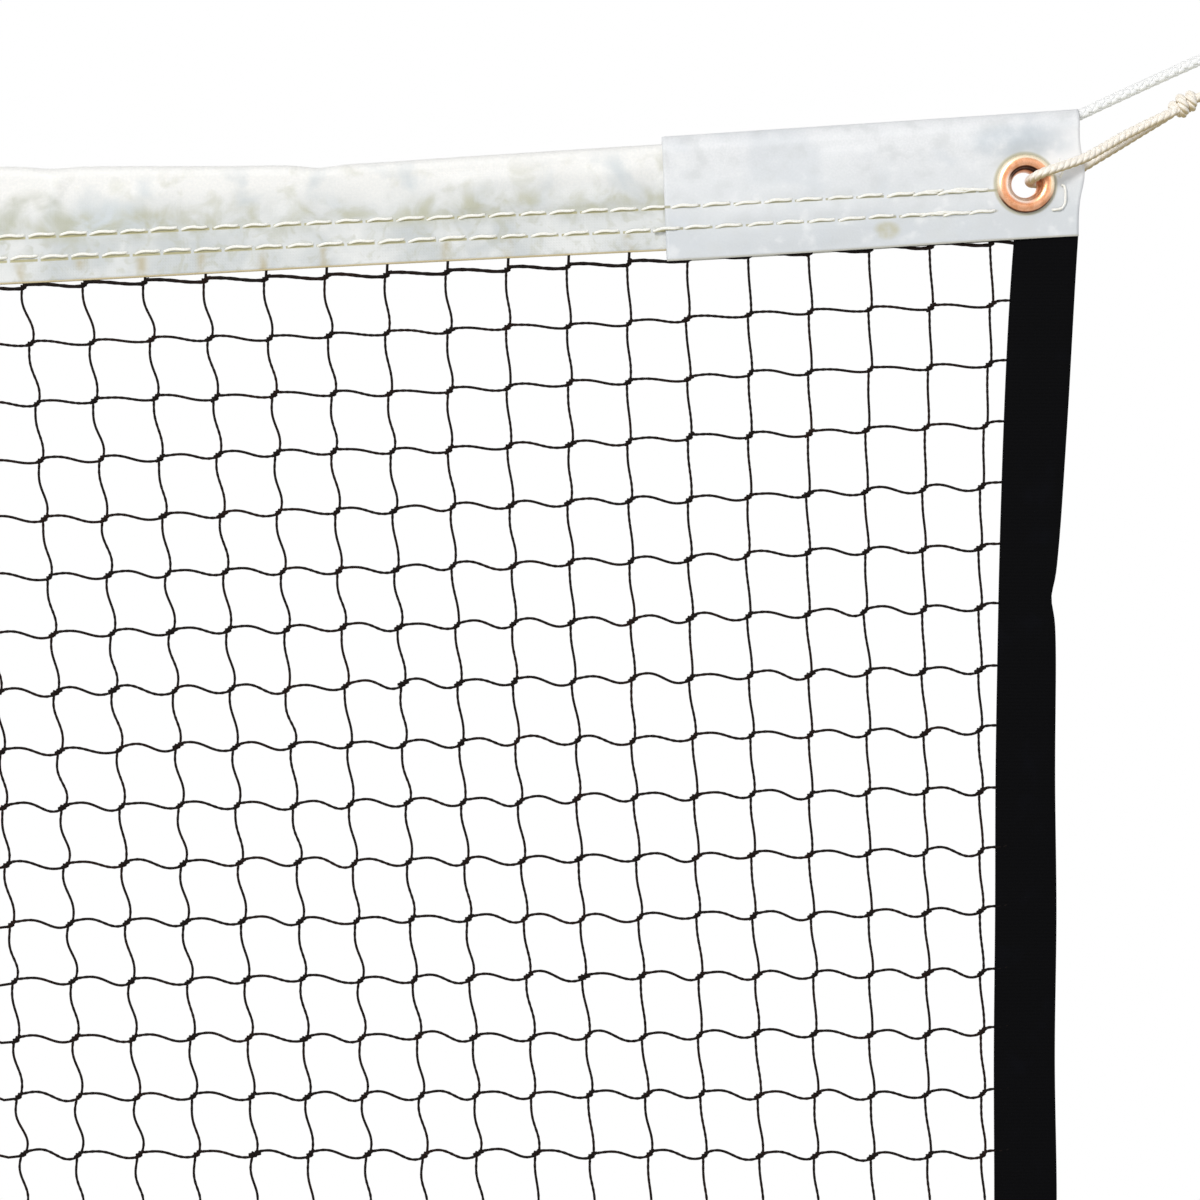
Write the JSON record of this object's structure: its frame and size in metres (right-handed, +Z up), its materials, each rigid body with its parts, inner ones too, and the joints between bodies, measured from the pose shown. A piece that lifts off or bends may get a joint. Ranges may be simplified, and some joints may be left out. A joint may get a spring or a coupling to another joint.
{
  "type": "badminton net",
  "caption": "Full-size badminton net: white headband over a head rope, corner patches with grommets and tie ropes, black knotted netting with bound edges.",
  "frame": {"origin": "centre of the head rope at mid-span", "axes": "+Z up, X along the net, the pictured end at +X, front of the net towards -Y"},
  "size_m": [6.2998, 0.0187, 0.8243],
  "materials": {
    "headband_vinyl": "white vinyl-coated tape, satin, soft wrinkles",
    "patch_vinyl": "smooth white vinyl-coated cloth, satin, faintly blue",
    "grommet_brass": "polished reddish brass",
    "head_rope": "white braided cord",
    "tie_rope": "cream twisted cord",
    "netting_twine": "black-brown knotted twine, matte",
    "binding_tape": "black woven tape, matte",
    "sewing_thread": "thick off-white thread, matte"
  },
  "bodies": {
    "headband": {"headband_tape": "headband_vinyl", "head_rope": "head_rope", "top_selvedge_cord": "netting_twine", "corner_patch_right": "patch_vinyl", "grommet_eyelet_right": "grommet_brass", "grommet_washer_right": "grommet_brass", "head_rope_end_right": "head_rope", "head_rope_knot_right": "head_rope", "head_rope_eye_right": "head_rope", "tie_rope_front_right": "tie_rope", "tie_rope_rear_right": "tie_rope", "tie_rope_tail_right": "tie_rope", "tie_knot_right": "tie_rope", "tie_end_knot_right": "tie_rope", "corner_patch_left": "patch_vinyl", "grommet_eyelet_left": "grommet_brass", "grommet_washer_left": "grommet_brass", "head_rope_end_left": "head_rope", "head_rope_knot_left": "head_rope", "head_rope_eye_left": "head_rope", "tie_rope_front_left": "tie_rope", "tie_rope_rear_left": "tie_rope", "tie_rope_tail_left": "tie_rope", "tie_knot_left": "tie_rope", "tie_end_knot_left": "tie_rope"},
    "upper_netting": {"netting_upper": "netting_twine", "side_tape_upper_right": "binding_tape", "side_tape_upper_left": "binding_tape"},
    "lower_netting": {"netting_lower": "netting_twine", "foot_tape": "binding_tape", "side_tape_lower_right": "binding_tape", "side_tape_lower_left": "binding_tape"}
  },
  "joints": [
    {"name": "netting_swing", "type": "hinge", "parent": "headband", "child": "upper_netting", "pos_m": [0, 0, -0.0386], "axis": [1, 0, 0], "range_deg": [-90, 90]},
    {"name": "netting_fold", "type": "hinge", "parent": "upper_netting", "child": "lower_netting", "pos_m": [0, 0, -0.398], "axis": [1, 0, 0], "range_deg": [-150, 150]}
  ]
}
